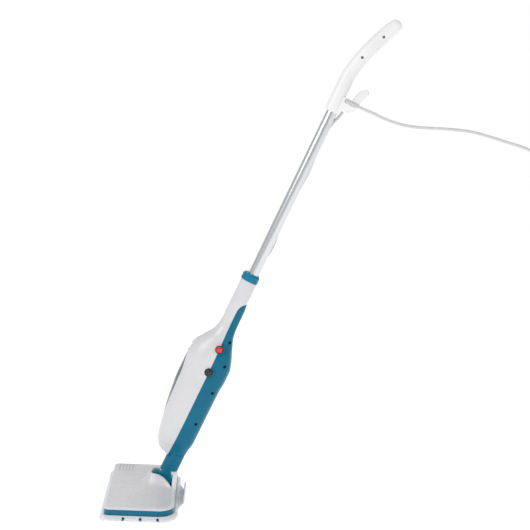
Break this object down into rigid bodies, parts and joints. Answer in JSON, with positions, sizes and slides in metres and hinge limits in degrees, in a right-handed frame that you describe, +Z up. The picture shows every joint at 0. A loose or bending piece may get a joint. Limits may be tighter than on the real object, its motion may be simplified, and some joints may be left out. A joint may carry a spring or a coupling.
{
  "type": "steam mop",
  "caption": "Upright steam mop with a flat floor head and carpet glider, a tilting and swivelling neck, a boiler body with a water window, a metal tube, a bent grip and a coiled mains lead.",
  "frame": {"origin": "middle of the sole of the floor head, on the floor", "axes": "+Z up, -Y towards the head's front edge, the pole leans back towards +Y, +X is the side of the controls"},
  "size_m": [0.309, 1.2405, 1.1708],
  "materials": {
    "white_plastic": "smooth white plastic, slightly glossy",
    "teal_plastic": "glossy teal plastic",
    "bright_teal_plastic": "smooth brighter teal plastic",
    "tube_metal": "brushed metal tube",
    "pin_steel": "plain steel",
    "smoked_plastic": "clear plastic with a smoky tint",
    "black_plastic": "satin black plastic",
    "red_lens": "glossy red plastic",
    "grey_rubber": "soft grey rubber",
    "cord_sheath": "light grey flexible cord",
    "brass": "plain brass",
    "board_green": "green circuit board",
    "milky_plastic": "milky translucent plastic",
    "blue_cloth": "blue microfibre cloth"
  },
  "bodies": {
    "pole": {"front_shell": "white_plastic", "handle_left": "white_plastic", "handle_right": "white_plastic", "cord_hook": "white_plastic", "rear_shell": "teal_plastic", "neck": "teal_plastic", "collar": "bright_teal_plastic", "tube": "tube_metal", "shell_screw_1": "pin_steel", "shell_screw_2": "pin_steel", "shell_screw_3": "pin_steel", "shell_screw_4": "pin_steel", "shell_screw_5": "pin_steel", "shell_screw_6": "pin_steel", "shell_screw_7": "pin_steel", "shell_screw_8": "pin_steel", "handle_screw_1": "pin_steel", "handle_screw_2": "pin_steel", "tilt_pin": "pin_steel", "plug_pin_1": "pin_steel", "plug_pin_2": "pin_steel", "heater": "pin_steel", "water_tank": "smoked_plastic", "pump": "black_plastic", "power_bezel": "black_plastic", "knob_bezel": "black_plastic", "cord_tie": "black_plastic", "tank_hose": "grey_rubber", "feed_hose": "grey_rubber", "steam_hose": "grey_rubber", "cord_sleeve": "grey_rubber", "body_gland": "grey_rubber", "tube_lead": "cord_sheath", "power_cord": "cord_sheath", "cord_coil": "cord_sheath", "plug": "cord_sheath", "thermostat": "brass", "circuit_board": "board_green"},
    "yoke": {"yoke": "bright_teal_plastic", "hose_elbow": "grey_rubber"},
    "head": {"head_cover": "white_plastic", "head_base": "teal_plastic", "steam_nozzle": "grey_rubber", "head_hose": "grey_rubber", "grip_strip_front": "black_plastic", "grip_strip_rear": "black_plastic", "mop_pad": "blue_cloth", "head_screw_1": "pin_steel", "head_screw_2": "pin_steel", "head_screw_3": "pin_steel", "head_screw_4": "pin_steel", "swivel_pin_front": "pin_steel", "swivel_pin_rear": "pin_steel"},
    "glider": {"carpet_glider": "milky_plastic"},
    "button": {"power_button": "red_lens"},
    "knob": {"steam_knob": "black_plastic"},
    "cap": {"tank_cap": "white_plastic"}
  },
  "joints": [
    {"name": "neck_tilt", "type": "hinge", "parent": "pole", "child": "yoke", "pos_m": [0, 0.0507, 0.0729], "axis": [1, 0, 0], "range_deg": [-22.4, 60]},
    {"name": "head_swivel", "type": "hinge", "parent": "yoke", "child": "head", "pos_m": [0, 0.04003, 0.04701], "axis": [0, 0.9245, -0.3811], "range_deg": [-13, 13]},
    {"name": "glider_release", "type": "slide", "parent": "head", "child": "glider", "axis": [0, 0, -1], "range_m": [0, 0.035]},
    {"name": "power_press", "type": "slide", "parent": "pole", "child": "button", "axis": [-1, 0, 0], "range_m": [0, 0.0025], "stiffness_N_per_m": 300},
    {"name": "steam_turn", "type": "hinge", "parent": "pole", "child": "knob", "pos_m": [0.048, 0.14146, 0.3351], "axis": [1, 0, 0], "range_deg": [-135, 135]},
    {"name": "cap_turn", "type": "hinge", "parent": "pole", "child": "cap", "pos_m": [0, 0.10669, 0.40135], "axis": [0, -0.6947, 0.7193], "range_deg": [0, 90]}
  ]
}
